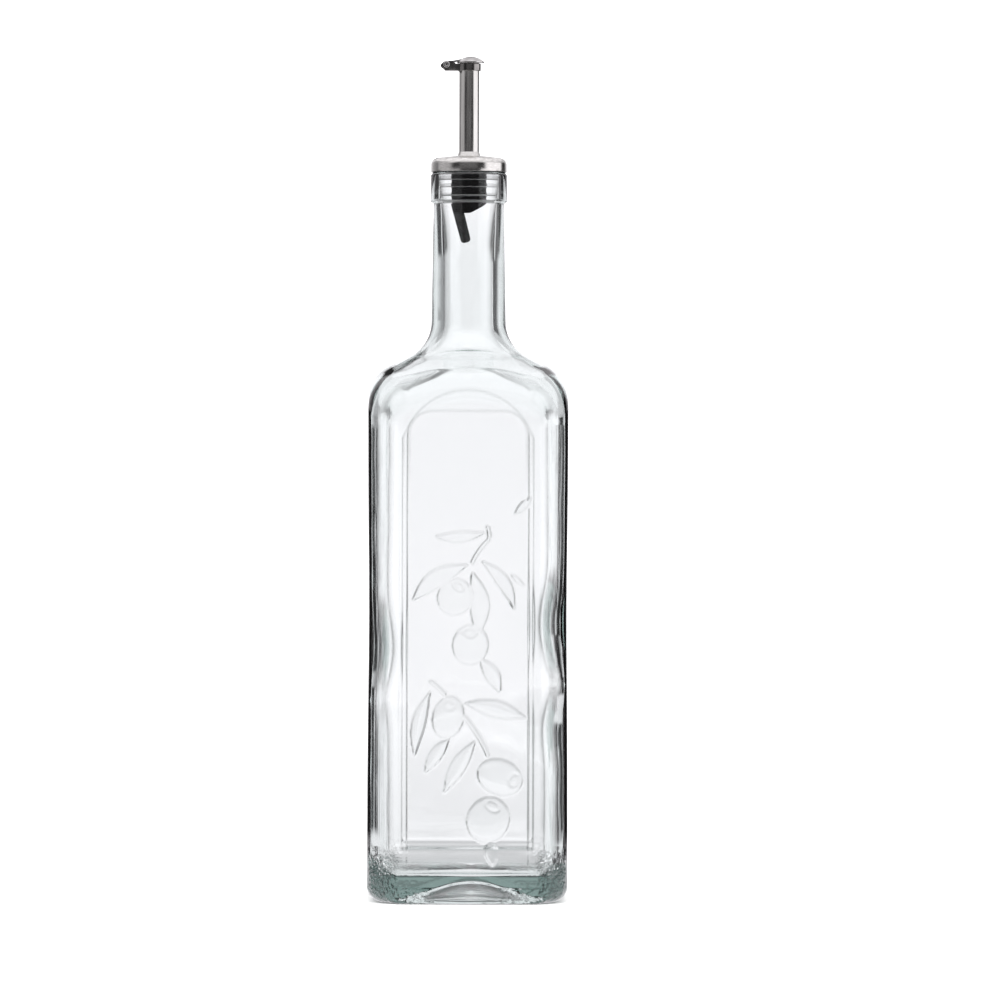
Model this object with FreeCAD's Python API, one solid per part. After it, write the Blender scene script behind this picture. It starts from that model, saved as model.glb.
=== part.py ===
import FreeCAD, Part
import math
import os

from FreeCAD import Vector

# A square table bottle of clear pressed glass for oil or vinegar, closed by a steel pourer
# with a flap that falls open when the bottle is tipped.
# Millimetres, Z up. The origin is on the table under the bottle's axis, the panelled face
# looks along -Y, and the pourer's hinge lies on the -X side of the spout.

# Glass body
BODY_WIDTH = 78.0
BODY_CORNER_RADIUS = 14.5
BOTTLE_HEIGHT = 284.4
HEEL_RADIUS = 6.0
WALL = 3.6
CAVITY_CORNER_RADIUS = 12.0
FLOOR_HEIGHT = 11.0
FLOOR_EDGE_BEVEL = 4.5
PUNT_DEPTH = 7.0
PUNT_RADIUS = 29.0

# Glass shoulder and neck
SHOULDER_SLOPE = math.tan(math.radians(26.0))
SHOULDER_HEIGHT = 204.6
SHOULDER_EDGE_RADIUS = 13.5
SHOULDER_WALL = 4.4
CAVITY_EDGE_BEVEL = 3.5
CAVITY_NECK_BEVEL = 8.0
NECK_FOOT_RADIUS = 14.7
NECK_TOP_RADIUS = 13.9
NECK_FILLET = 15.0
COLLAR_RADIUS = 15.1
COLLAR_BOTTOM = 273.0
COLLAR_SLANT = 0.9
LIP_RADIUS = 1.5
BORE_RADIUS = 9.5
MOUTH_RADIUS = 12.85
MOUTH_TAPER_BOTTOM = 258.0
MOUTH_EDGE_BEVEL = 0.5

# Arched panel pressed into the front face
PANEL_HALF_WIDTH = 24.9
PANEL_BOTTOM = 18.0
PANEL_TOP = 199.5
PANEL_ARCH_RADIUS = 24.8
PANEL_CORNER_RADIUS = 9.0
PANEL_FOOT_RADIUS = 5.0
PANEL_DEPTH = 0.8
PANEL_SIDE_BORDER = 2.1
PANEL_TOP_BORDER = 9.1

# Pourer stopper
FIT_GAP = 0.03
PLUG_RADIUS = 7.05
PLUG_BOTTOM = 268.0
NOSE_EDGE_X = 0.6
NOSE_RISE = 0.56
PLUG_BEVEL = 0.8
HEAD_SEAT = 284.45
HEAD_FLARE = 1.2
HEAD_NECK_RADIUS = 10.5
VENT_X = -5.3
VENT_RADIUS = 0.6
INLET_X = 0.9
INLET_RADIUS = 2.4
SEAL_NAMES = ("upper", "middle", "lower")
SEAL_HEIGHTS = (281.0, 278.2, 274.9)
SEAL_ROOT_RADIUS = 6.55
SEAL_HALF = 0.35
SEAL_BORE_GAP = 0.08

# Breather tube
BREATHER_TOP = Vector(-5.05, 0, 272.0)
BREATHER_END = Vector(-1.15, 0, 257.3)
BREATHER_TOP_RADIUS = 1.75
BREATHER_END_RADIUS = 1.4
BREATHER_BORE = 0.8

# Cover cap
CAP_RADIUS = 15.0
CAP_BOTTOM = 284.8
CAP_TOP = 290.2
CAP_EDGE_RADIUS = 3.0
CAP_SHEET = 0.5
CROWN_TOP = 290.9
EYELET_TOP = 291.7
EYELET_FOOT = 0.55

# Spout tube
TUBE_RADIUS = 4.0
TUBE_WALL = 0.6
TUBE_BOTTOM = 275.2
TUBE_TOP = 327.3

# Hinge strap, pin and flap
STRAP_SHEET = 0.6
STRAP_BOTTOM = 324.3
BAND_TOP = 327.1
EAR_INSIDE = 2.3
EAR_BOTTOM = 324.9
EAR_TOP = 328.2
EAR_END_RADIUS = 1.6
EAR_END_LIFT = 0.5
EAR_MARGIN = 1.0
EAR_STEP_FOOT = 1.4
EAR_STEP_TOP = 2.4
EAR_STEP_ROUNDING = 0.5
PIN_X = -8.95
PIN_HEIGHT = 326.8
PIN_RADIUS = 0.75
PIN_RUNNING_GAP = 0.06
PIN_HEAD_RADIUS = 1.3
PIN_HEAD_HEIGHT = 0.45
PIN_HEAD_ROUNDING = 0.35
FLAP_SEAT_GAP = 0.1
LID_X = 0.6
LID_RADIUS = 5.4
LID_EDGE = 0.5
LID_RISE = 2.1
LID_HOLLOW = 1.3
LUG_OUTSIDE = 2.1
LUG_SHEET = 0.7
LUG_RADIUS = 1.5
HEEL_REACH = 1.5
ARM_SHEET = 0.8
ARM_LAP = 1.6
ARM_LAP_RISE = 1.1
ARM_UNDER_NEAR = 3.0
ARM_UNDER_FAR = 3.4
ARM_CRANK_NEAR = 2.4
ARM_CRANK_FAR = 3.6
ARM_CRANK_RISE = 0.35
ARM_CRANK_ROUNDING = 1.0

# Small turned edges are rounded in this many straight flats, which keeps each face a cone.
EDGE_FLATS = 3


def rounded_wire(corners):
    """Closed XZ wire through (x, z, radius) corners, each radius a tangent arc."""
    points = [Vector(x, 0, z) for x, z, radius in corners]
    bends = []
    for index, corner in enumerate(points):
        radius = corners[index][2]
        back = (points[index - 1] - corner).normalize()
        ahead = (points[(index + 1) % len(points)] - corner).normalize()
        half_angle = back.getAngle(ahead) / 2
        reach = radius / math.tan(half_angle)
        middle = corner
        if radius:
            middle = corner + (back + ahead).normalize() * (radius / math.sin(half_angle) - radius)
        bends.append((corner + back * reach, middle, corner + ahead * reach))
    edges = []
    for index, (start, middle, end) in enumerate(bends):
        if not start.isEqual(end, 1e-6):
            edges.append(Part.Arc(start, middle, end).toShape())
        following = bends[(index + 1) % len(bends)][0]
        if not end.isEqual(following, 1e-6):
            edges.append(Part.LineSegment(end, following).toShape())
    return Part.Wire(edges)


def turned(corners):
    """Solid turned about the Z axis from (radius, height, rounding) corners."""
    return Part.Face(rounded_wire(corners)).revolve(Vector(), Vector(0, 0, 1), 360)


def soft_edge(radius, height, rounding):
    """Corners of a turned edge that curves from upright at `radius` to level at `height`."""
    angles = [math.pi / 2 * step / EDGE_FLATS for step in range(EDGE_FLATS + 1)]
    return [(radius - rounding * (1 - math.cos(angle)), height - rounding * (1 - math.sin(angle)), 0)
            for angle in angles]


def rod(radius, bottom, top, x=0.0):
    """Upright cylinder."""
    return Part.makeCylinder(radius, top - bottom, Vector(x, 0, bottom))


def plate(corners, near, far):
    """XZ outline with rounded corners, extruded from Y = near to Y = far."""
    face = Part.Face(rounded_wire(corners))
    face.translate(Vector(0, near, 0))
    return face.extrude(Vector(0, far - near, 0))


def square_bar(half_width, corner_radius, bottom, top):
    """Upright square bar with rounded vertical edges."""
    corner = Vector(-half_width, -half_width, bottom)
    bar = Part.makeBox(2 * half_width, 2 * half_width, top - bottom, corner)
    upright = [edge for edge in bar.Edges if edge.BoundBox.ZLength > edge.BoundBox.DiagonalLength / 2]
    return bar.makeFillet(corner_radius, upright)


def dome(rise, radius, base):
    """Ball whose top stands `rise` above the level `base` and meets that level at `radius`."""
    ball_radius = (radius ** 2 + rise ** 2) / (2 * rise)
    return Part.makeSphere(ball_radius, Vector(0, 0, base + rise - ball_radius))


def shoulder_height(radius, drop=0.0):
    """Height of the conical shoulder at a distance from the axis, lowered by `drop`."""
    return SHOULDER_HEIGHT - drop + (BODY_WIDTH / 2 - radius) * SHOULDER_SLOPE


def edges_between(shape, low, high):
    """Edges whose middles lie between two heights."""
    return [edge for edge in shape.Edges if low < edge.CenterOfMass.z < high]


def bore_radius(height):
    """Radius of the tapered mouth at a height, or of the straight bore below it."""
    share = (height - MOUTH_TAPER_BOTTOM) / (BOTTLE_HEIGHT - MOUTH_TAPER_BOTTOM)
    return BORE_RADIUS + max(share, 0) * (MOUTH_RADIUS - BORE_RADIUS)


def bottle_outside():
    """Turned neck and conical shoulder, trimmed to the square body and rounded."""
    half = BODY_WIDTH / 2
    form = turned([
        (0, 0, 0),
        (BODY_WIDTH, 0, 0),
        (BODY_WIDTH, shoulder_height(BODY_WIDTH), 0),
        (NECK_FOOT_RADIUS, shoulder_height(NECK_FOOT_RADIUS), NECK_FILLET),
        (NECK_TOP_RADIUS, COLLAR_BOTTOM - COLLAR_SLANT, 0),
        (COLLAR_RADIUS, COLLAR_BOTTOM, 0),
        *soft_edge(COLLAR_RADIUS, BOTTLE_HEIGHT, LIP_RADIUS),
        (0, BOTTLE_HEIGHT, 0),
    ])
    form = form.common(square_bar(half, BODY_CORNER_RADIUS, 0, BOTTLE_HEIGHT))
    corner_reach = (half - BODY_CORNER_RADIUS) * math.sqrt(2) + BODY_CORNER_RADIUS
    low = shoulder_height(corner_reach) - 1
    form = form.makeFillet(SHOULDER_EDGE_RADIUS, edges_between(form, low, SHOULDER_HEIGHT + 1))
    form = form.makeFillet(HEEL_RADIUS, edges_between(form, -1, 1))
    return form.cut(dome(PUNT_DEPTH, PUNT_RADIUS, 0))


def bottle_cavity():
    """Space for the oil: square body, sloping shoulder, straight bore and tapered mouth."""
    half = BODY_WIDTH / 2 - WALL
    drop = SHOULDER_WALL / math.cos(math.atan(SHOULDER_SLOPE))
    above = BOTTLE_HEIGHT + 2
    neck_foot = BORE_RADIUS + CAVITY_NECK_BEVEL
    neck_bottom = shoulder_height(BORE_RADIUS, drop) + CAVITY_NECK_BEVEL
    mouth_edge = BOTTLE_HEIGHT - MOUTH_EDGE_BEVEL
    form = turned([
        (0, FLOOR_HEIGHT, 0),
        (BODY_WIDTH, FLOOR_HEIGHT, 0),
        (BODY_WIDTH, shoulder_height(BODY_WIDTH, drop), 0),
        (neck_foot, shoulder_height(neck_foot, drop), 0),
        (BORE_RADIUS, neck_bottom, 0),
        (BORE_RADIUS, MOUTH_TAPER_BOTTOM, 0),
        (bore_radius(mouth_edge), mouth_edge, 0),
        (bore_radius(mouth_edge) + above - mouth_edge, above, 0),
        (0, above, 0),
    ])
    form = form.common(square_bar(half, CAVITY_CORNER_RADIUS, FLOOR_HEIGHT, above))
    corner_reach = (half - CAVITY_CORNER_RADIUS) * math.sqrt(2) + CAVITY_CORNER_RADIUS
    low = shoulder_height(corner_reach, drop) - 1
    high = shoulder_height(half, drop) + 1
    form = form.makeChamfer(CAVITY_EDGE_BEVEL, edges_between(form, low, high))
    return form.makeChamfer(FLOOR_EDGE_BEVEL, edges_between(form, FLOOR_HEIGHT - 1, FLOOR_HEIGHT + 1))


def panel_outline(depth):
    """Outline of the front panel at a depth below the face: round arched on the face, and squarer at the
    foot of its drafted border."""
    share = depth / PANEL_DEPTH
    half = PANEL_HALF_WIDTH - share * PANEL_SIDE_BORDER
    bottom = PANEL_BOTTOM + share * PANEL_SIDE_BORDER
    top = PANEL_TOP - share * PANEL_TOP_BORDER
    arch = PANEL_ARCH_RADIUS - max(share, 0) * (PANEL_ARCH_RADIUS - PANEL_CORNER_RADIUS)
    wire = rounded_wire([
        (-half, bottom, PANEL_FOOT_RADIUS),
        (half, bottom, PANEL_FOOT_RADIUS),
        (half, top, arch),
        (-half, top, arch),
    ])
    wire.translate(Vector(0, depth - BODY_WIDTH / 2, 0))
    return wire


def glass_bottle():
    """Bottle wall between its outside and its cavity, with the panel pressed into its front."""
    panel = Part.makeLoft([panel_outline(-PANEL_DEPTH / 4), panel_outline(PANEL_DEPTH)], True, True)
    return bottle_outside().cut(bottle_cavity()).cut(panel)


def cap_edge(inset):
    """Rounded edge of the cap at a depth below its outside."""
    return soft_edge(CAP_RADIUS - inset, CAP_TOP - inset, CAP_EDGE_RADIUS - inset)


def breather_solid(top_radius, end_radius):
    """Cone on the breather's slanted axis."""
    axis = BREATHER_END - BREATHER_TOP
    return Part.makeCone(top_radius, end_radius, axis.Length, BREATHER_TOP, axis)


def breather_tube():
    """Slanted air tube, narrower at its lower end."""
    tube = breather_solid(BREATHER_TOP_RADIUS, BREATHER_END_RADIUS)
    axis = BREATHER_END - BREATHER_TOP
    return tube.cut(Part.makeCylinder(BREATHER_BORE, axis.Length, BREATHER_TOP, axis))


def stopper_core():
    """Moulded plug: head under the cap, grooves for the seals, and an oblique oil inlet below."""
    inset = CAP_SHEET + FIT_GAP
    core = turned([
        (0, PLUG_BOTTOM, 0),
        (PLUG_RADIUS - PLUG_BEVEL, PLUG_BOTTOM, 0),
        (PLUG_RADIUS, PLUG_BOTTOM + PLUG_BEVEL, 0),
        (PLUG_RADIUS, HEAD_SEAT - HEAD_FLARE, 0),
        (HEAD_NECK_RADIUS, HEAD_SEAT, 0),
        (CAP_RADIUS - inset, HEAD_SEAT, 0),
        *cap_edge(inset),
        (0, CAP_TOP - inset, 0),
    ])
    for height in SEAL_HEIGHTS:
        groove = rod(2 * PLUG_RADIUS, height - SEAL_HALF, height + SEAL_HALF)
        core = core.cut(groove.cut(rod(SEAL_ROOT_RADIUS, height - 1, height + 1)))
    nose = plate([
        (NOSE_EDGE_X, PLUG_BOTTOM - 1, 0),
        (3 * PLUG_RADIUS, PLUG_BOTTOM - 1, 0),
        (3 * PLUG_RADIUS, PLUG_BOTTOM + (3 * PLUG_RADIUS - NOSE_EDGE_X) * NOSE_RISE, 0),
        (NOSE_EDGE_X, PLUG_BOTTOM, 0),
    ], -2 * PLUG_RADIUS, 2 * PLUG_RADIUS)
    nose = nose.common(rod(2 * PLUG_RADIUS, PLUG_BOTTOM - 2, SEAL_HEIGHTS[-1] - 1.5))
    core = core.cut(nose)
    core = core.cut(rod(TUBE_RADIUS + FIT_GAP, TUBE_BOTTOM, CAP_TOP))
    core = core.cut(rod(INLET_RADIUS, PLUG_BOTTOM - 1, TUBE_BOTTOM + 1, INLET_X))
    core = core.cut(rod(VENT_RADIUS, BREATHER_TOP.z - 0.5, CAP_TOP, VENT_X))
    return core.cut(breather_solid(BREATHER_TOP_RADIUS + FIT_GAP, BREATHER_END_RADIUS + FIT_GAP))


def seal_ring(height):
    """Soft disc in a groove of the plug, as wide as the tapered mouth at its height."""
    bottom = height - SEAL_HALF
    top = height + SEAL_HALF
    disc = rod(bore_radius(bottom) - SEAL_BORE_GAP, bottom, top)
    return disc.cut(rod(SEAL_ROOT_RADIUS + FIT_GAP, bottom, top))


def cover_cap():
    """Stamped steel cup with a soft edge, a crown that rises to an eyelet round the spout, and a vent hole."""
    hole = TUBE_RADIUS + FIT_GAP
    cup = turned([
        (CAP_RADIUS, CAP_BOTTOM, 0),
        *cap_edge(0),
        (hole + EYELET_FOOT, CROWN_TOP, 0),
        (hole + EYELET_FOOT / 2, EYELET_TOP, 0),
        (hole, EYELET_TOP, 0),
        (hole, CROWN_TOP - CAP_SHEET, 0),
        *reversed(cap_edge(CAP_SHEET)),
        (CAP_RADIUS - CAP_SHEET, CAP_BOTTOM, 0),
    ])
    return cup.cut(rod(VENT_RADIUS, CAP_BOTTOM, EYELET_TOP, VENT_X))


def spout_tube():
    """Straight steel tube from the stopper's seat to the flap."""
    tube = rod(TUBE_RADIUS, TUBE_BOTTOM, TUBE_TOP)
    return tube.cut(rod(TUBE_RADIUS - TUBE_WALL, TUBE_BOTTOM - 1, TUBE_TOP + 1))


def hinge_strap():
    """Bent steel strap: a band round the tube, two ears for the pin and a floor between them."""
    ear_outside = EAR_INSIDE + STRAP_SHEET
    ear_end = PIN_X - PIN_HEAD_RADIUS - EAR_MARGIN
    ear_outline = [
        (ear_end, STRAP_BOTTOM + EAR_END_LIFT, EAR_END_RADIUS),
        (-TUBE_RADIUS / 2, STRAP_BOTTOM, 0),
        (-TUBE_RADIUS / 2, BAND_TOP, 0),
        (-TUBE_RADIUS - EAR_STEP_FOOT, BAND_TOP, EAR_STEP_ROUNDING),
        (-TUBE_RADIUS - EAR_STEP_TOP, EAR_TOP, EAR_STEP_ROUNDING),
        (ear_end, EAR_TOP, EAR_END_RADIUS),
    ]
    ears = plate(ear_outline, -ear_outside, ear_outside)
    slot = Part.makeBox(BODY_WIDTH, 2 * EAR_INSIDE, BODY_WIDTH,
                        Vector(-BODY_WIDTH, -EAR_INSIDE, EAR_BOTTOM))
    end_slot = Part.makeBox(BODY_WIDTH, 2 * EAR_INSIDE, BODY_WIDTH,
                            Vector(PIN_X - HEEL_REACH - BODY_WIDTH, -EAR_INSIDE, 0))
    band = rod(TUBE_RADIUS + STRAP_SHEET, STRAP_BOTTOM, BAND_TOP)
    strap = ears.cut(slot).cut(end_slot).fuse(band).removeSplitter()
    strap = strap.cut(rod(TUBE_RADIUS + FIT_GAP, STRAP_BOTTOM - 1, EAR_TOP + 1))
    return strap.cut(pin_rod(PIN_RADIUS, ear_outside + 1))


def pin_rod(radius, half_length):
    """Cylinder on the hinge axis."""
    start = Vector(PIN_X, -half_length, PIN_HEIGHT)
    return Part.makeCylinder(radius, 2 * half_length, start, Vector(0, 1, 0))


def hinge_pin():
    """Rivet through both ears, with a round-edged head on each side."""
    ear_outside = EAR_INSIDE + STRAP_SHEET
    upper = [(PIN_RADIUS, ear_outside, 0), (PIN_HEAD_RADIUS, ear_outside, 0)]
    upper += soft_edge(PIN_HEAD_RADIUS, ear_outside + PIN_HEAD_HEIGHT, PIN_HEAD_ROUNDING)
    upper += [(0, ear_outside + PIN_HEAD_HEIGHT, 0)]
    lower = [(radius, -height, rounding) for radius, height, rounding in reversed(upper)]
    pin = turned(lower + upper)
    pin.rotate(Vector(), Vector(1, 0, 0), 90)
    pin.translate(Vector(PIN_X, 0, PIN_HEIGHT))
    return pin


def flap_lid():
    """Stamped domed lid with an arm that folds down into two lugs on the pin."""
    seat = TUBE_TOP + FLAP_SEAT_GAP
    edge = seat + LID_EDGE
    lid = rod(LID_RADIUS, seat, edge + LID_RISE + 1, LID_X)
    ball = dome(LID_RISE, LID_RADIUS, edge)
    ball.translate(Vector(LID_X, 0, 0))
    lid = lid.common(ball).cut(rod(TUBE_RADIUS - TUBE_WALL, seat - 1, seat + LID_HOLLOW))
    heel_x = PIN_X - HEEL_REACH
    heel_top = PIN_HEIGHT + HEEL_REACH
    arm_end = LID_X - LID_RADIUS + ARM_LAP
    arm = plate([
        (heel_x, heel_top - ARM_SHEET, 0),
        (PIN_X + ARM_UNDER_NEAR, heel_top - ARM_SHEET, 0),
        (PIN_X + ARM_UNDER_FAR, seat, 0),
        (arm_end, seat, 0),
        (arm_end, edge + ARM_LAP_RISE, 0),
        (PIN_X + ARM_CRANK_FAR, heel_top + ARM_CRANK_RISE, ARM_CRANK_ROUNDING),
        (PIN_X + ARM_CRANK_NEAR, heel_top, ARM_CRANK_ROUNDING),
        (heel_x, heel_top, 0),
    ], -LUG_OUTSIDE, LUG_OUTSIDE)
    lug = plate([
        (PIN_X - LUG_RADIUS, PIN_HEIGHT - LUG_RADIUS, LUG_RADIUS - 0.01),
        (PIN_X + LUG_RADIUS, PIN_HEIGHT - LUG_RADIUS, LUG_RADIUS - 0.01),
        (PIN_X + LUG_RADIUS, heel_top - ARM_SHEET / 2, 0),
        (PIN_X - LUG_RADIUS, heel_top - ARM_SHEET / 2, 0),
    ], -LUG_OUTSIDE, LUG_OUTSIDE)
    between = LUG_OUTSIDE - LUG_SHEET
    gap = Part.makeBox(4 * LUG_RADIUS, 2 * between, 4 * LUG_RADIUS,
                       Vector(PIN_X - 2 * LUG_RADIUS, -between, heel_top - ARM_SHEET - 4 * LUG_RADIUS))
    flap = lid.fuse(arm).fuse(lug.cut(gap)).removeSplitter()
    return flap.cut(pin_rod(PIN_RADIUS + PIN_RUNNING_GAP, 2 * LUG_OUTSIDE))


pieces = {
    "glass_bottle": glass_bottle(),
    "stopper_core": stopper_core(),
    "breather_tube": breather_tube(),
    "cover_cap": cover_cap(),
    "spout_tube": spout_tube(),
    "hinge_strap": hinge_strap(),
    "hinge_pin": hinge_pin(),
    "flap_lid": flap_lid(),
}
for name, height in zip(SEAL_NAMES, SEAL_HEIGHTS):
    pieces["seal_ring_" + name] = seal_ring(height)

os.makedirs("parts", exist_ok=True)
for node, shape in pieces.items():
    shape.exportStep("parts/" + node + ".step")

print("capacity to the brim, ml:", round(bottle_cavity().Volume / 1000))
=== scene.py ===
import bpy
import numpy as np
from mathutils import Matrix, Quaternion, Vector


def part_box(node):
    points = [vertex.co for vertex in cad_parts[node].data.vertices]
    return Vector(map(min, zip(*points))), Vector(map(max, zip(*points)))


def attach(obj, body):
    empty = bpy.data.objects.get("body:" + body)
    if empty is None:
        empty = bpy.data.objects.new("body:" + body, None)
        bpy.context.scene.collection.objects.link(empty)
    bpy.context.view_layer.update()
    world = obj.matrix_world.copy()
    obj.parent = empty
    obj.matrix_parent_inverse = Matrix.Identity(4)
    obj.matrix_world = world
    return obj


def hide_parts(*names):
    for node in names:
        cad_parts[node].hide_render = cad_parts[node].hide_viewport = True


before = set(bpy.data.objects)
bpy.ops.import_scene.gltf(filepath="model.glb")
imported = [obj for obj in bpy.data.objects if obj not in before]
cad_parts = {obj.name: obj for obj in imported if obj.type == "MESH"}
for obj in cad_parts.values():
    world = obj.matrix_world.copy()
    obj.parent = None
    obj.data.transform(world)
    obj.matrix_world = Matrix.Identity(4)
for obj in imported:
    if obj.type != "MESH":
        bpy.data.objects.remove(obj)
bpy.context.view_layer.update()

# Bottle: one piece of clear soda-lime glass, blown in a mould that leaves a sunk arched panel with
# olive sprigs on the front. No mould touches the inside, so the walls are wavy there and the base is thick.

MM = 0.001
SHOULDER_PITCH = np.radians(26.0)
UPRIGHT_TO_SLOPE = np.pi / 2 - SHOULDER_PITCH


def node_box(node):
    """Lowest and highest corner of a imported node, in millimetres."""
    return [np.array(corner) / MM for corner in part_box(node)]


def skin(points, loop=False):
    """Closed surface over a grid of points (rows, columns, xyz): every row is a ring, neighbouring rings
    are joined by quads, and the end rings are joined to each other or closed by a fan to their middle."""
    rows, columns = points.shape[:2]
    index = np.arange(rows * columns).reshape(rows, columns)
    below = index if loop else index[:-1]
    above = np.roll(index, -1, 0) if loop else index[1:]
    quads = np.stack([below, np.roll(below, -1, 1), np.roll(above, -1, 1), above], -1).reshape(-1, 4)
    vertices = points.reshape(-1, 3)
    faces = quads.tolist()
    if not loop:
        first, last = index[0], index[-1]
        foot, head = np.full(columns, len(vertices)), np.full(columns, len(vertices) + 1)
        faces += np.stack([foot, np.roll(first, -1), first], -1).tolist()
        faces += np.stack([head, last, np.roll(last, -1)], -1).tolist()
        vertices = np.vstack([vertices, points[0].mean(0), points[-1].mean(0)])
    corners = vertices[quads]
    normal = np.cross(corners[:, 2] - corners[:, 0], corners[:, 3] - corners[:, 1])
    if np.einsum("ij,ij", corners.mean(1) - vertices.mean(0), normal) < 0:
        faces = [face[::-1] for face in faces]
    return vertices, faces


def make_piece(name, skins, finish, sharp=35.0):
    """One smooth-shaded object from closed skins in millimetres, creased at edges over `sharp` degrees."""
    vertices, faces = [], []
    for points, corners in skins:
        start = sum(map(len, vertices))
        vertices.append(points)
        faces += [[start + corner for corner in face] for face in corners]
    mesh = bpy.data.meshes.new(name)
    mesh.from_pydata(np.vstack(vertices) * MM, [], faces)
    mesh.shade_smooth()
    mesh.set_sharp_from_angle(angle=np.radians(sharp))
    mesh.materials.append(finish)
    piece = bpy.data.objects.new(name, mesh)
    bpy.context.scene.collection.objects.link(piece)
    return piece


def rounded(corners, steps=7):
    """Points through (across, up, radius) corners, each radius drawn as a tangent arc."""
    corners = np.array(corners, float)
    places = corners[:, :2]
    points = []
    for index, radius in enumerate(corners[:, 2]):
        corner = places[index]
        if not radius:
            points.append(corner[None])
            continue
        back = places[index - 1] - corner
        ahead = places[(index + 1) % len(places)] - corner
        back, ahead = back / np.hypot(*back), ahead / np.hypot(*ahead)
        inward = (back + ahead) / np.hypot(*(back + ahead))
        half = np.arccos(np.clip(back @ ahead, -1, 1)) / 2
        centre = corner + inward * radius / np.sin(half)
        aside = back - (back @ inward) * inward
        aside = aside / np.hypot(*aside)
        turn = np.linspace(half - np.pi / 2, np.pi / 2 - half, steps)[:, None]
        points.append(centre - radius * (np.cos(turn) * inward + np.sin(turn) * aside))
    return np.vstack(points)


def plan_radius(half, corner):
    """Distance from the axis to a rounded square, at each column's angle: half / cos on its flats, and on
    a corner the far crossing of the ray with that corner's circle."""
    off_face = (angle + np.pi / 4) % (np.pi / 2) - np.pi / 4
    off_corner = np.pi / 4 - np.abs(off_face)
    centre = (half - corner) * np.sqrt(2)
    bend = centre * np.cos(off_corner)
    bend = bend + np.sqrt(np.maximum(corner ** 2 - (centre * np.sin(off_corner)) ** 2, 0))
    return np.where(half * np.tan(np.abs(off_face)) <= half - corner, half / np.cos(off_face), bend)


def bell(value, middle, spread):
    """Smooth bump of height one: e to the minus square of the way from its middle, in spreads."""
    return np.exp(-((value - middle) / spread) ** 2)


def cone_height(reach, drop=0.0):
    """Height of the conical shoulder, lowered by `drop`, at a distance from the axis."""
    return SHOULDER_HEIGHT - drop - (reach - BODY_HALF) * np.tan(SHOULDER_PITCH)


def tangent_length(radius):
    """How far from their corner an arc of `radius` leaves an upright wall to meet the cone."""
    return radius * np.tan(UPRIGHT_TO_SLOPE / 2)


BODY_HALF = node_box("glass_bottle")[1][0]
BOTTLE_HEIGHT = node_box("glass_bottle")[1][2]
CORNER = 14.5
HEEL = 6.0
FRONT_HEEL = 1.8
FRONT_HEEL_FROM = 0.72
FRONT_HEEL_EASE = 0.1
PUNT_X = 1.5
PUNT_HALF = 33.5
PUNT_DEPTH = 8.6
PUNT_SPREAD = 23.0
PUNT_RIM = 4.0
WAIST = 0.5
WAIST_HEIGHT = 112.0
WAIST_SPREAD = 40.0
SHOULDER_HEIGHT = 204.6
SHOULDER_RADIUS = 13.5
SHOULDER_DROP = 4.9
NECK_FOOT = 14.7
NECK_TOP = 13.9
NECK_FILLET = 15.0
BORE = 9.5
MOUTH = 12.85
COLLAR = 15.1
COLLAR_BOTTOM = 273.0
COLLAR_SLANT = 0.9
COLLAR_ROUNDING = 0.8
LIP_ROUNDING = 1.5
MOUTH_ROUNDING = 0.7
MOUTH_TAPER_END = 258.0
MOUTH_TAPER_BLEND = 150.0
CAVITY_HALF = 35.4
CAVITY_CORNER = 11.2
CAVITY_RADIUS = 14.0
CAVITY_FILLET = 19.4
FLOOR = 10.0
FLOOR_FILLET = 6.0
FLOOR_RISE = 1.0
PANEL_HALF = 24.9
PANEL_BOTTOM = 21.8
PANEL_TOP = 198.5
PANEL_ARCH = 25.9
PANEL_SIDE_BORDER = 2.1
PANEL_TOP_BORDER = 8.1
PANEL_BOTTOM_BORDER = 2.8
PANEL_CORNER = 9.0
PANEL_DEPTH = 0.5
PANEL_EASE = 0.3
PANEL_GROOVE = 0.18
GROOVE_SPREAD = 0.5
PANEL_MARGIN = 0.6

# Points go round the bottle face by face, close together across the panel and on the corners.
FRONT_PLACES_HALF = PANEL_HALF + 1.0
CORNER_SPAN = np.radians((34.5, 55.5))
front_places = np.linspace(-FRONT_PLACES_HALF, FRONT_PLACES_HALF, 108)
side_places = np.linspace(CORNER - BODY_HALF, BODY_HALF - CORNER, 9)
corner_angles = np.linspace(*CORNER_SPAN, 13)
faces_and_corners = []
for quarter, places in enumerate([front_places, side_places, side_places, side_places]):
    facing = (quarter - 1) * np.pi / 2
    faces_and_corners += [facing + np.arctan(places / BODY_HALF), facing + corner_angles]
angle = np.concatenate(faces_and_corners)

# Rows of points up the body as (from, to, step), closest where the sprigs and the panel's arch are.
BODY_ROWS = [
    (HEEL + 1.5, 11.0, 1.5),
    (11.4, 158.0, 0.6),
    (158.0, 172.0, 1.0),
    (172.0, 186.0, 0.6),
]


def from_rim(x, y):
    """Share of the way up the slope inside the push-up's square rim: none on the rim, one past the slope."""
    return np.clip((PUNT_HALF - np.maximum(np.abs(x), np.abs(y))) / PUNT_RIM, 0, 1)


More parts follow.
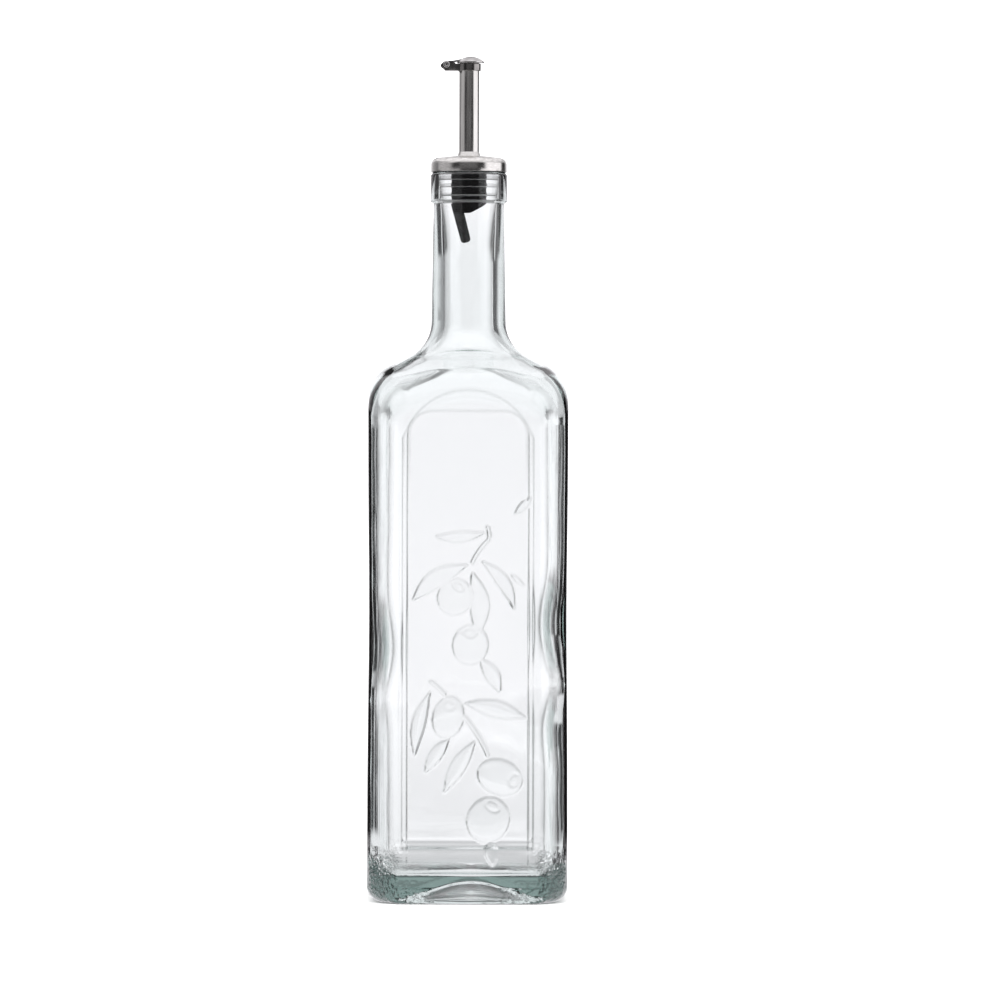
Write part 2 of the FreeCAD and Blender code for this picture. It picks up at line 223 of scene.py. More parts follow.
def bottle_outside():
    """Distance from the axis and height of the outside, from the middle of the base up to the neck's foot.
    The push-up is a bell across the base, carried from front to back and let down to its rim. The heel is
    tighter under the front and back, where the compass angle's sine is past FRONT_HEEL_FROM."""
    share = np.linspace(0.04, 1, 30)[:, None]
    under_front = np.clip((np.abs(np.sin(angle)) - FRONT_HEEL_FROM) / FRONT_HEEL_EASE, 0, 1)
    heel_radius = HEEL - (HEEL - FRONT_HEEL) * under_front ** 2 * (3 - 2 * under_front)
    base = share * plan_radius(BODY_HALF - heel_radius, CORNER - heel_radius)
    vault = PUNT_DEPTH * bell(base * np.cos(angle), PUNT_X, PUNT_SPREAD)
    climb = from_rim(base * np.cos(angle), base * np.sin(angle))
    punt = vault * climb * (2 - climb)
    bend = np.linspace(0, np.pi / 2, 9)[1:, None]
    inset = heel_radius * (1 - np.sin(bend))
    heel = plan_radius(BODY_HALF - inset, CORNER - inset)
    levels = np.concatenate([np.arange(*band) for band in BODY_ROWS])[:, None]
    body = plan_radius(BODY_HALF - WAIST * bell(levels, WAIST_HEIGHT, WAIST_SPREAD), CORNER)
    wall = plan_radius(BODY_HALF, CORNER)
    radius = SHOULDER_RADIUS * wall / BODY_HALF
    start = cone_height(wall) - tangent_length(radius)
    rise = np.linspace(0, 1, 17)[1:, None]
    turn = np.linspace(0, UPRIGHT_TO_SLOPE, 23)[1:, None]
    arc = wall - radius * (1 - np.cos(turn))
    foot = NECK_FOOT + tangent_length(NECK_FILLET) * np.sin(UPRIGHT_TO_SLOPE)
    slope = arc[-1] + np.linspace(0, 1, 9)[1:, None] * (foot - arc[-1])
    hollow = np.linspace(UPRIGHT_TO_SLOPE, 0, 15)[1:, None] + 0 * angle
    neck = NECK_FOOT + NECK_FILLET * (1 - np.cos(hollow))
    neck_start = cone_height(NECK_FOOT) + tangent_length(NECK_FILLET)
    distance = [base, heel, body, wall + 0 * rise, arc, slope, neck]
    height = [
        punt,
        heel_radius * (1 - np.cos(bend)),
        levels + 0 * body,
        levels[-1] + rise * (start - levels[-1]),
        start + radius * np.sin(turn),
        cone_height(slope),
        neck_start - NECK_FILLET * np.sin(hollow),
    ]
    return np.vstack(distance), np.vstack(height)


def bottle_neck():
    """Round stretch: up the neck and collar, over the lip, and down the tapered mouth and the bore."""
    neck_start = cone_height(NECK_FOOT) + tangent_length(NECK_FILLET)
    bore_end = cone_height(BORE, SHOULDER_DROP) + tangent_length(CAVITY_FILLET)
    profile = rounded([
        (NECK_FOOT, neck_start, 0),
        (NECK_TOP, COLLAR_BOTTOM - COLLAR_SLANT, COLLAR_ROUNDING),
        (COLLAR, COLLAR_BOTTOM, COLLAR_ROUNDING),
        (COLLAR, BOTTLE_HEIGHT, LIP_ROUNDING),
        (MOUTH, BOTTLE_HEIGHT, MOUTH_ROUNDING),
        (BORE, MOUTH_TAPER_END, MOUTH_TAPER_BLEND),
        (BORE, bore_end, 0),
    ])[1:-1]
    return profile[:, :1] + 0 * angle, profile[:, 1:] + 0 * angle


# Swells of the inside walls as (how far out, height, spread). The right wall also stands in at its foot.
RIGHT_SWELLS = [(1.1, 84, 8), (-2.8, 108, 13), (-1.2, 67, 9)]
LEFT_SWELLS = [(0.8, 79, 8), (-1.7, 99, 13)]
BACK_SWELLS = [(0.4, 60, 30)]
RIGHT_FOOT = 0.6
RIGHT_FOOT_TOP = 66.0
RIGHT_FOOT_EASE = 4.0


def wall_waves(height):
    """How far the inside stands out towards each side at a height: a sum of bells up each wall, which fades
    away from the wall's middle."""
    right, left, back = (sum(out * bell(height, level, spread) for out, level, spread in swells)
                         for swells in (RIGHT_SWELLS, LEFT_SWELLS, BACK_SWELLS))
    right = right - RIGHT_FOOT / (1 + np.exp((height - RIGHT_FOOT_TOP) / RIGHT_FOOT_EASE))
    waves = right * np.clip(np.cos(angle), 0, 1) ** 3
    waves = waves + left * np.clip(-np.cos(angle), 0, 1) ** 3
    return waves + back * np.clip(np.sin(angle), 0, 1) ** 2


def bottle_inside():
    """The blown inside, from the foot of the bore out to the walls and down to the middle of the floor."""
    hollow = np.linspace(0, UPRIGHT_TO_SLOPE, 13)[:, None] + 0 * angle
    neck = BORE + CAVITY_FILLET * (1 - np.cos(hollow))
    bore_end = cone_height(BORE, SHOULDER_DROP) + tangent_length(CAVITY_FILLET)
    wall = plan_radius(CAVITY_HALF, CAVITY_CORNER)
    radius = CAVITY_RADIUS * wall / CAVITY_HALF
    start = cone_height(wall, SHOULDER_DROP) - tangent_length(radius)
    turn = np.linspace(UPRIGHT_TO_SLOPE, 0, 15)[:, None]
    arc = wall - radius * (1 - np.cos(turn))
    slope = neck[-1] + np.linspace(0, 1, 7)[1:-1, None] * (arc[0] - neck[-1])
    fall = np.linspace(0, 1, 60)[1:, None]
    level = start + fall * (FLOOR + FLOOR_FILLET - start)
    walls = plan_radius(CAVITY_HALF + wall_waves(level), CAVITY_CORNER)
    bend = np.linspace(np.pi / 2, 0, 11)[1:, None]
    inset = FLOOR_FILLET * (1 - np.sin(bend))
    edge = plan_radius(CAVITY_HALF - inset, CAVITY_CORNER - inset)
    share = np.linspace(1, 0.08, 12)[1:, None]
    floor = share * edge[-1]
    distance = [neck, slope, arc, walls, edge, floor]
    height = [
        bore_end - CAVITY_FILLET * np.sin(hollow),
        cone_height(slope, SHOULDER_DROP),
        start + radius * np.sin(turn),
        level,
        FLOOR + FLOOR_FILLET * (1 - np.cos(bend)) + 0 * edge,
        FLOOR + FLOOR_RISE * (1 - share ** 2) + 0 * floor,
    ]
    return np.vstack(distance), np.vstack(height)


def panel_sink(x, z):
    """Depth of the sunk panel, and a mark of one along its grooves. The depth is none on the arched outline
    and full inside the inner outline, and between them it grows with the share of the way across."""
    to_sides = np.minimum(PANEL_HALF - np.abs(x), z - PANEL_BOTTOM)
    arch_middle = PANEL_TOP - PANEL_ARCH
    to_arch = np.where(z > arch_middle, PANEL_ARCH - np.hypot(x, z - arch_middle), PANEL_HALF)
    inside_outer = np.minimum(to_sides, to_arch)
    across = np.abs(x) - (PANEL_HALF - PANEL_SIDE_BORDER - PANEL_CORNER)
    up = z - (PANEL_TOP - PANEL_TOP_BORDER - PANEL_CORNER)
    outside_inner = np.hypot(np.maximum(across, 0), np.maximum(up, 0)) + np.minimum(np.maximum(across, up), 0)
    outside_inner = outside_inner - PANEL_CORNER
    from_outer, from_inner = np.maximum(inside_outer, 0), np.maximum(outside_inner, 0)
    groove = bell(inside_outer, 0, GROOVE_SPREAD) + bell(outside_inner, 0, GROOVE_SPREAD)
    groove = groove + bell(z, PANEL_BOTTOM + PANEL_BOTTOM_BORDER, GROOVE_SPREAD) * (inside_outer > 0)
    depth = PANEL_DEPTH * from_outer / (from_outer + from_inner + PANEL_EASE)
    return depth + PANEL_GROOVE * groove, groove


# Leaves as (tip, other tip, half width, bow, height), olives as (middle, half length, half width, tilt,
# height) and twigs as (start, end, bow), in millimetres and degrees on the front face.
LEAVES = [
    ((-13, 142), (6.5, 143.5), 2.3, -1.0, 1.0),
    ((18, 150.5), (24.5, 157), 1.6, 0.0, 0.9),
    ((0, 131), (-21.5, 117), 3.6, -2.2, 1.2),
    ((5, 132.5), (18, 113.5), 2.6, 2.6, 1.2),
    ((1.5, 128.5), (3.5, 103), 4.0, 2.0, 1.1),
    ((16.5, 127.5), (22, 122.5), 1.0, 0.0, 0.8),
    ((4.5, 95), (12.5, 81.5), 3.0, 1.0, 1.2),
    ((-14.5, 82), (-20.5, 57), 2.7, -1.4, 1.1),
    ((-1, 77.5), (22.5, 72), 3.5, 0.6, 1.3),
    ((-7, 64), (-16.5, 50.5), 2.6, -0.6, 1.1),
    ((3, 63), (-9, 43), 3.1, -0.6, 1.1),
    ((8.5, 25), (10, 14.5), 2.6, 0.0, 0.8),
]
OLIVES = [
    ((-5, 118.5), 7.2, 6.8, 60, 1.3),
    ((1, 100), 7.8, 7.0, 80, 1.3),
    ((-7.5, 72), 8.2, 6.1, 75, 1.4),
    ((12.5, 49), 9.0, 6.9, -20, 1.5),
    ((8, 32.5), 9.0, 8.2, 60, 1.4),
]
TWIGS = [
    ((7.5, 146), (8.3, 141), 0.2),
    ((8.3, 141), (1.5, 131.5), -0.6),
    ((-14.5, 86), (-8.5, 80.5), 0.2),
    ((-2, 73), (8, 57), 0.8),
]
LEAF_TAPER = 0.9
LEAF_CROWN = 0.35
OLIVE_CROWN = 0.25
SHINE_PLACE = (0.62, 0.15)
SHINE_SIZE = (0.2, 0.34)
SHINE_DEPTH = 0.45
SHINE_SPREAD = 0.25
TWIG_HALF = 0.9
TWIG_HEIGHT = 0.95


def way_and_aside(x, z, start, end):
    """Share of the way from `start` to `end` at each point, and its distance to the left of that line."""
    along = np.subtract(end, start)
    length = np.hypot(*along)
    way = ((x - start[0]) * along[0] + (z - start[1]) * along[1]) / length ** 2
    aside = ((z - start[1]) * along[0] - (x - start[0]) * along[1]) / length
    return way, aside


def leaf(x, z, start, end, half_width, bow, height):
    """Raised lens from tip to tip: half width times the sine of the way along, bowed aside by a parabola,
    with a pillow section."""
    way, aside = way_and_aside(x, z, start, end)
    kept = np.clip(way, 0, 1)
    edge = half_width * np.sin(np.pi * kept) ** LEAF_TAPER + 1e-6
    across = (aside - 4 * bow * kept * (1 - kept)) / edge
    return height * np.clip(1 - across ** 2, 0, 1) ** LEAF_CROWN * (way == kept)


def olive(x, z, centre, long_half, short_half, tilt, height):
    """Raised egg: a low dome over an ellipse, with a shallow oval ring near one end for its shine."""
    lean = np.radians(tilt)
    along = ((x - centre[0]) * np.cos(lean) + (z - centre[1]) * np.sin(lean)) / long_half
    aside = ((z - centre[1]) * np.cos(lean) - (x - centre[0]) * np.sin(lean)) / short_half
    dome = height * np.clip(1 - along ** 2 - aside ** 2, 0, 1) ** OLIVE_CROWN
    ring = np.hypot((along - SHINE_PLACE[0]) / SHINE_SIZE[0], (aside - SHINE_PLACE[1]) / SHINE_SIZE[1])
    return dome - SHINE_DEPTH * bell(ring, 1, SHINE_SPREAD) * (dome > 0)


def twig(x, z, start, end, bow):
    """Thin raised round between two points, bowed aside by a parabola."""
    way, aside = way_and_aside(x, z, start, end)
    across = (aside - 4 * bow * way * (1 - way)) / TWIG_HALF
    return TWIG_HEIGHT * np.clip(1 - across ** 2, 0, 1) * (np.abs(way - 0.5) <= 0.5)


def front_relief(x, z):
    """Height of the olive sprigs over the panel: the highest of their leaves, olives and twigs."""
    relief = np.zeros_like(x)
    for start, end, half_width, bow, height in LEAVES:
        relief = np.maximum(relief, leaf(x, z, start, end, half_width, bow, height))
    for start, end, bow in TWIGS:
        relief = np.maximum(relief, twig(x, z, start, end, bow))
    for centre, long_half, short_half, tilt, height in OLIVES:
        egg = olive(x, z, centre, long_half, short_half, tilt, height)
        relief = np.where(egg > 0, egg, relief)
    return relief


class Link:
    """One shader socket. Plus, minus, times and over on it add Math nodes, and node() adds any other node."""

    def __init__(self, tree, socket=None):
        self.tree = tree
        self.socket = socket

    def node(self, kind, settings=None, values=None, output=0):
        """Add a node of a type, set its settings and then its sockets, and give one of its outputs."""
        made = self.tree.nodes.new("ShaderNode" + kind)
        for name, value in (settings or {}).items():
            if name == "stops":
                while len(made.color_ramp.elements) < len(value):
                    made.color_ramp.elements.new(1.0)
                for stop, (place, shade) in zip(made.color_ramp.elements, value):
                    stop.position = place
                    stop.color = (shade, shade, shade, 1) if np.isscalar(shade) else (*shade, 1)
            else:
                setattr(made, name, value)
        for name, value in (values or {}).items():
            if isinstance(value, Link):
                self.tree.links.new(value.socket, made.inputs[name])
            else:
                made.inputs[name].default_value = value
        return Link(self.tree, made.outputs[output])

    def sum_node(self, operation, first, second):
        """Add a Math node on two values or links."""
        return self.node("Math", {"operation": operation}, {0: first, 1: second})

    def step(self, low, high):
        """Add a smooth step: none up to `low`, one from `high` on."""
        return self.node("MapRange", {"interpolation_type": "SMOOTHSTEP"},
                         {"Value": self, "From Min": low, "From Max": high})

    def __add__(self, other):
        return self.sum_node("ADD", self, other)

    def __sub__(self, other):
        return self.sum_node("SUBTRACT", self, other)

    def __rsub__(self, other):
        return self.sum_node("SUBTRACT", other, self)

    def __mul__(self, other):
        return self.sum_node("MULTIPLY", self, other)

    def __truediv__(self, other):
        return self.sum_node("DIVIDE", self, other)

    __radd__ = __add__
    __rmul__ = __mul__


def new_finish(name):
    """An empty material, and a first link to build its nodes on."""
    finish = bpy.data.materials.new(name)
    finish.use_nodes = True
    finish.node_tree.nodes.clear()
    return finish, Link(finish.node_tree)


def close_finish(link, surface, volume=None):
    """Join a surface and perhaps a volume to the material's output."""
    values = {"Surface": surface}
    if volume:
        values["Volume"] = volume
    output = link.tree.nodes.new("ShaderNodeOutputMaterial")
    for name, shader in values.items():
        link.tree.links.new(shader.socket, output.inputs[name])


GLASS_TINT = (0.77, 0.82, 0.81, 1)
GLASS_DENSITY = 100.0
# Painted shade: how dark the glass's colour goes where its painted shade is full.
PAINTED_SHADE_TINT = 0.7
RIPPLE = 0.24
CORNER_STREAK = 0.07
STREAKS_ROUND = 80
STREAKS_UP = 9
BASE_STIPPLE = 0.5
FOOT_STIPPLE = 1.2

# Where the streaks, the stipple under the base and the grit at the corners' feet set in, in metres.
STREAK_ZONE = (0.029, 0.036)
BASE_ZONE = (0.01, 0.02)
BASE_ZONE_TOP = (0.0055, 0.0065)
FOOT_ZONE = (0.026, 0.033)
FOOT_ZONE_TOP = (0.01, 0.022)


def clear_glass():
    """Colourless glass with the faint ripples of a blown wall, upright streaks in its corners, a stippled
    underside towards the corners and gritty feet below them, its colour darkened by painted shade along the
    grooves, sprig edges, push-up rim and corner feet, and a green that shows where it is thick."""
    finish, link = new_finish("clear_glass")
    place = link.node("TexCoord", output=3)
    x, y, z = (link.node("SeparateXYZ", values={0: place}, output=axis) for axis in range(3))
    far_x = link.node("Math", {"operation": "ABSOLUTE"}, {0: x})
    far_y = link.node("Math", {"operation": "ABSOLUTE"}, {0: y})
    compass = link.node("Math", {"operation": "ARCTAN2"}, {0: y, 1: x})
    upright = link.node("CombineXYZ", values={0: compass * STREAKS_ROUND, 1: z * STREAKS_UP})
    ripple = link.node("TexNoise", values={"Vector": place, "Scale": 55.0, "Detail": 1.0})
    streak = link.node("TexNoise", values={"Vector": upright, "Scale": 1.0, "Detail": 2.0})
    stipple = link.node("TexNoise", values={"Vector": place, "Scale": 560.0, "Detail": 1.0})
    grit = link.node("TexNoise", values={"Vector": place, "Scale": 900.0, "Detail": 1.0})
    in_corner = far_x.step(*STREAK_ZONE) * far_y.step(*STREAK_ZONE)
    under_base = far_x.step(*BASE_ZONE) * far_y.step(*BASE_ZONE) * (1 - z.step(*BASE_ZONE_TOP))
    at_foot = far_x.step(*FOOT_ZONE) * far_y.step(*FOOT_ZONE) * (1 - z.step(*FOOT_ZONE_TOP))
    height = RIPPLE * ripple + CORNER_STREAK * streak * in_corner + BASE_STIPPLE * stipple * under_base
    height = height + (FOOT_STIPPLE * stipple + grit) * at_foot
    normal = link.node("Bump", values={"Height": height, "Strength": 1.0, "Distance": MM})
    # Painted shade: the colour is darkened along the panel's upper grooves, the sprigs' steep edges, the
    # push-up's rim and the corners' feet.
    chill = link.node("Attribute", {"attribute_name": "chill"}, output=2)
    colour = link.node("ValToRGB", {"stops": [(0.0, 1.0), (1.0, PAINTED_SHADE_TINT)]}, {0: chill})
    surface = link.node("BsdfPrincipled", values={
        "Base Color": colour, "Roughness": 0.0, "IOR": 1.52, "Transmission Weight": 1.0, "Normal": normal})
    tint = link.node("VolumeAbsorption", values={"Color": GLASS_TINT, "Density": GLASS_DENSITY})
    close_finish(link, surface, tint)
    return finish


# Where the glass's painted shade lies: steep sprig edges, the panel's upper grooves, the push-up's rim and
# the corners' feet.
STEEP_EDGE = 0.7
GROOVE_SHADE_FROM = 160.0
GROOVE_SHADE_EASE = 15.0
RIM_SHADE = 0.8
FOOT_SHADE_FROM = 27.0
FOOT_SHADE_EASE = 6.0
FOOT_SHADE_TOP = 20.0
FOOT_SHADE_FADE = 8.0


def painted_shade_marks(x, y, z, on_front, groove, sprigs):
    """Painted shade to darken the glass's colour: one along the panel's upper grooves, on the steep edges of
    the sprigs, on the slope inside the push-up's rim, and at the foot of each corner."""
    steep = np.clip(np.hypot(*np.gradient(sprigs)) / STEEP_EDGE, 0, 1)
    upper = np.clip((z - GROOVE_SHADE_FROM) / GROOVE_SHADE_EASE, 0, 1)
    climb = from_rim(x, y)
    on_rim = (z < PUNT_DEPTH) & (climb > 0) & (climb < RIM_SHADE)
    far_x, far_y = (np.clip((np.abs(way) - FOOT_SHADE_FROM) / FOOT_SHADE_EASE, 0, 1) for way in (x, y))
    low = np.clip((FOOT_SHADE_TOP - z) / FOOT_SHADE_FADE, 0, 1)
    return np.where(on_front, groove * upper + steep, 0) + on_rim + far_x * far_y * low


stretches = [bottle_outside(), bottle_neck(), bottle_inside()]
reaches, heights = (np.vstack(part) for part in zip(*stretches))
bottle_points = np.stack([reaches * np.cos(angle), reaches * np.sin(angle), heights], -1)
outside = bottle_points[:len(stretches[0][0])]
out_x, out_y, out_z = np.moveaxis(outside, -1, 0)
on_front = (out_y < 0) & (np.abs(out_x) < PANEL_HALF + PANEL_MARGIN) & (out_z > HEEL)
sunk, groove = panel_sink(out_x, out_z)
sprigs = np.where(on_front, front_relief(out_x, out_z), 0)
# Painted shade for the glass's colour, one value for each outside point.
shade_amount = painted_shade_marks(out_x, out_y, out_z, on_front, groove, sprigs)
outside[..., 1] += np.where(on_front, sunk, 0) - sprigs

bottle = make_piece("glass_bottle_visual", [skin(bottle_points)], clear_glass(), sharp=180.0)
# The painted shade goes to the glass as a point attribute that darkens its colour.
chill = np.zeros(len(bottle.data.vertices))
chill[:shade_amount.size] = shade_amount.ravel()
bottle.data.attributes.new("chill", "FLOAT", "POINT").data.foreach_set("value", chill)
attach(bottle, "bottle")
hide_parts("glass_bottle")

# Stopper: a black plastic plug moulded in one piece, with a wide head that carries the cap and an oblique
# nose where the oil runs in. It is pushed into the tapered mouth by hand.

PLUG = 7.05
PLUG_BOTTOM = 268.0
PLUG_EDGE = 0.8
NOSE = 6.6
NOSE_X = 0.45
NOSE_CREASE = 0.6
NOSE_SOFTNESS = 0.4
NOSE_RISE = 0.56
NOSE_TOP = 273.0
INLET_X = 0.9
INLET = 2.4
INLET_DEPTH = 1.0
PLUG_GROOVE = 0.25
SEAL_SEAT_RISE = 0.3
SEAL_SEAT_SPREAD = 0.75
HEAD = 14.4
HEAD_SEAT = 284.45
PLUG_TOP = HEAD_SEAT - 1.6
HEAD_FOOT = HEAD_SEAT - 1.3
HEAD_TOP = 289.2
HEAD_FLARE = 1.2
HEAD_EDGE = 0.3
HEAD_ROUNDING = 2.4
HEAD_CROWN = 0.8
TUBE_BEVEL = 0.4
TUBE_GAP = 0.05
TUBE_SEAT = 275.2
TUBE = node_box("spout_tube")[1][0]
SEAL_HEIGHTS = {"upper": 281.0, "middle": 278.2, "lower": 274.9}
PLUG_DARK = 0.0008
PLUG_LIGHT = 0.003


def turned(profile, columns=128):
    """Grid of points: a profile of (distance from the axis, height) turned about the upright axis."""
    around = np.linspace(0, 2 * np.pi, columns, endpoint=False)
    reach, height = profile[:, :1], profile[:, 1:]
    return np.stack([reach * np.cos(around), reach * np.sin(around), height + 0 * around], -1)


def nose_height(x):
    """Height of the plug's underside: level, then rising evenly past a soft crease."""
    past = x - NOSE_CREASE
    return PLUG_BOTTOM + NOSE_RISE * (past + np.hypot(past, NOSE_SOFTNESS)) / 2


def stopper_points():
    """Rings from the inlet over the oblique nose, up the plug and round its head, and down inside the hole
    for the tube, so that the last ring meets the first through the inlet."""
    share = np.linspace(0, 1, 9)[:, None]
    flat = np.stack([INLET + share * (NOSE - PLUG_EDGE - INLET), 0 * share], -1)[:, 0]
    nose = turned(flat)
    nose[..., 0] += INLET_X + share * (NOSE_X - INLET_X)
    nose[..., 2] = nose_height(nose[..., 0])
    bend = np.linspace(0, np.pi / 2, 6)[1:]
    edge = turned(np.stack([NOSE - PLUG_EDGE * (1 - np.sin(bend)), PLUG_EDGE * (1 - np.cos(bend))], -1))
    edge[..., 0] += NOSE_X
    edge[..., 2] += nose_height(edge[..., 0])
    levels = np.linspace(NOSE_TOP, PLUG_TOP, 60)
    seats = sum(bell(levels, height, SEAL_SEAT_SPREAD) for height in SEAL_HEIGHTS.values())
    plug = turned(np.stack([PLUG - PLUG_GROOVE + SEAL_SEAT_RISE * seats, levels], -1))
    head = turned(rounded([
        (PLUG, HEAD_FOOT, 0),
        (PLUG + HEAD_FLARE, HEAD_SEAT, HEAD_FLARE),
        (HEAD, HEAD_SEAT, HEAD_EDGE),
        (HEAD, HEAD_TOP, HEAD_ROUNDING),
        (TUBE + TUBE_BEVEL, HEAD_TOP + HEAD_CROWN, 0),
        (TUBE + TUBE_GAP, HEAD_TOP + HEAD_CROWN - TUBE_BEVEL, 0),
        (TUBE + TUBE_GAP, TUBE_SEAT, 0),
    ]))
    inlet = turned(np.array([(INLET, TUBE_SEAT), (INLET, TUBE_SEAT - INLET_DEPTH)]))
    inlet[..., 0] += INLET_X
    return np.vstack([nose, edge, plug, head, inlet])


def black_plastic(name, dark, light):
    """Satin black moulding between a dark and a light grey, with cloudy gloss and the mould's fine grain."""
    finish, link = new_finish(name)
    place = link.node("TexCoord", output=3)
    cloud = link.node("TexNoise", values={"Vector": place, "Scale": 260.0, "Detail": 3.0})
    grain = link.node("TexNoise", values={"Vector": place, "Scale": 2600.0, "Detail": 2.0})
    colour = link.node("ValToRGB", {"stops": [(0.35, dark), (0.7, light)]}, {0: cloud})
    normal = link.node("Bump", values={"Height": grain, "Strength": 0.25, "Distance": 0.00006})
    close_finish(link, link.node("BsdfPrincipled", values={
        "Base Color": colour,
        "Roughness": 0.28 + 0.22 * cloud,
        "Specular IOR Level": 0.08,
        "Normal": normal,
    }))
    return finish


plug_black = black_plastic("black_plug", PLUG_DARK, PLUG_LIGHT)
stopper = make_piece("stopper_core_visual", [skin(stopper_points(), loop=True)], plug_black)
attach(stopper, "pourer")
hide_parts("stopper_core")

# Seals: three soft discs of milky plastic stretched over the plug, thinner and turned up towards the rim
# where they wipe the glass.

SEAL_ROOT = 6.6
SEAL_HALVES = {"upper": 0.2, "middle": 0.2, "lower": 0.45}
SEAL_ROOT_TOP = 0.6
SEAL_LIP = 0.05
SEAL_ROUNDING = 0.08
MILKY_DARK = (0.9, 0.91, 0.9)
MILKY_LIGHT = (0.97, 0.97, 0.96)


def soft_seal():
    """Milky plastic that lets light through, with a faint bloom."""
    finish, link = new_finish("soft_seal")
    place = link.node("TexCoord", output=3)
    bloom = link.node("TexNoise", values={"Vector": place, "Scale": 420.0, "Detail": 4.0})
    normal = link.node("Bump", values={"Height": bloom, "Strength": 0.2, "Distance": 0.0001})
    colour = link.node("ValToRGB", {"stops": [(0.3, MILKY_DARK), (0.7, MILKY_LIGHT)]}, {0: bloom})
    close_finish(link, link.node("BsdfPrincipled", values={
        "Base Color": colour,
        "Roughness": 0.04 + 0.12 * bloom,
        "IOR": 1.43,
        "Transmission Weight": 0.5,
        "Normal": normal,
    }))
    return finish


seal_finish = soft_seal()
for name, height in SEAL_HEIGHTS.items():
    node = "seal_ring_" + name
    rim = node_box(node)[1][0]
    half = SEAL_HALVES[name]
    disc = rounded([
        (SEAL_ROOT, height - half, 0),
        (rim, height - SEAL_LIP, SEAL_ROUNDING),
        (rim, height + half, SEAL_ROUNDING),
        (SEAL_ROOT, height + SEAL_ROOT_TOP * half, 0),
    ])
    seal = make_piece(node + "_visual", [skin(turned(disc), loop=True)], seal_finish)
    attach(seal, "pourer")
    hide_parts(node)

# Breather: a thin tapered air tube of the same black plastic, pressed into the plug beside the oil inlet and
# leaning across the neck, so that air and oil pass each other.

BREATHER_TOP = np.array([-5.05, 0.0, 272.0])
BREATHER_END = np.array([-0.95, 0.0, 256.6])
BREATHER_TOP_RADIUS = 2.2
BREATHER_END_RADIUS = 1.95
BREATHER_BORE = 0.5
BREATHER_ROUNDING = 1.35
BREATHER_LIP = 0.1
# Painted light: the breather's greys are set far above the plug's, so that the tube looks lit.
BREATHER_LIT_DARK = 0.05
BREATHER_LIT_LIGHT = 0.1


def on_axis(points, start, axis):
    """Points turned about the upright axis, laid on another axis in the plane of the hinge."""
    side = np.array([axis[2], 0, -axis[0]])
    return start + points[..., :1] * side + points[..., 1:2] * np.array([0, 1, 0]) + points[..., 2:] * axis


breather_axis = BREATHER_END - BREATHER_TOP
breather_length = np.hypot(breather_axis[0], breather_axis[2])
breather_upright = turned(rounded([
    (BREATHER_TOP_RADIUS, 0, 0),
    (BREATHER_END_RADIUS, breather_length, BREATHER_ROUNDING),
    (BREATHER_BORE, breather_length - BREATHER_LIP, BREATHER_LIP / 2),
    (BREATHER_BORE, 0, 0),
]), columns=48)
breather_points = on_axis(breather_upright, BREATHER_TOP, breather_axis / breather_length)
breather_lit_black = black_plastic("lit_black_tube", BREATHER_LIT_DARK, BREATHER_LIT_LIGHT)
breather = make_piece("breather_tube_visual", [skin(breather_points, loop=True)], breather_lit_black)
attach(breather, "pourer")
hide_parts("breather_tube")

# Cap: a cup stamped from thin stainless sheet, brushed round its axis, pressed over the plug's head. Its
# crown rises a little to an eyelet round the spout, and a small dimple in it marks the hole that lets air
# into the breather.

CAP = node_box("cover_cap")[1][0]
CAP_BOTTOM = BOTTLE_HEIGHT + 0.06
CAP_EDGE = 289.8
CAP_ROUNDING = 2.6
CAP_BURR = 0.2
CAP_SHEET = 0.5
CROWN = 11.6
CROWN_TOP = 290.9
CROWN_FALL = 0.75
CROWN_FALL_WAY = 6.6
CROWN_FOOT = 12.0
CROWN_FOOT_RISE = 0.35
CROWN_UNDER = 289.6
EYELET = 4.6
EYELET_TOP = 292.5
EYELET_FILLET = 0.8
EYELET_ROOT = 0.3
EYELET_LIP = 0.15
EYELET_ROUNDING = 0.05
EYELET_BURR = 0.02
VENT_X = -6.6
VENT = 0.6
VENT_DEPTH = 0.42
VENT_EASE = 1.5
STEEL_DARK = (0.5, 0.49, 0.47)
STEEL_LIGHT = (0.74, 0.73, 0.71)
BRUSHING_ROUND = 9
BRUSHING_ACROSS = 5200


def cap_points():
    """Closed section of the cup turned about the axis, its crown falling by a parabola from the eyelet, with
    the vent's dimple pressed into the crown."""
    crown = [(reach, CROWN_TOP - CROWN_FALL * ((reach - EYELET) / CROWN_FALL_WAY) ** 2, 0)
             for reach in np.linspace(CROWN, EYELET + EYELET_FILLET, 22)]
    profile = rounded([
        (CAP, CAP_BOTTOM, CAP_BURR),
        (CAP, CAP_EDGE, CAP_ROUNDING),
        (CROWN_FOOT, CAP_EDGE + CROWN_FOOT_RISE, 0),
        *crown,
        (EYELET, CROWN_TOP, EYELET_ROOT),
        (TUBE + EYELET_LIP, EYELET_TOP, EYELET_ROUNDING),
        (TUBE + TUBE_GAP, EYELET_TOP, EYELET_BURR),
        (TUBE + TUBE_GAP, CROWN_TOP - CAP_SHEET, 0),
        (CROWN, CROWN_UNDER, 0),
        (CAP - CAP_SHEET, CAP_EDGE - CAP_SHEET, CAP_ROUNDING - CAP_SHEET),
        (CAP - CAP_SHEET, CAP_BOTTOM, CAP_BURR),
    ])
    points = turned(profile, columns=192)
    off_vent = np.hypot(points[..., 0] - VENT_X, points[..., 1])
    on_top = points[..., 2] > CROWN_TOP - CAP_SHEET / 2
    points[..., 2] -= VENT_DEPTH * np.clip(VENT_EASE - off_vent / VENT, 0, 1) * on_top
    return points


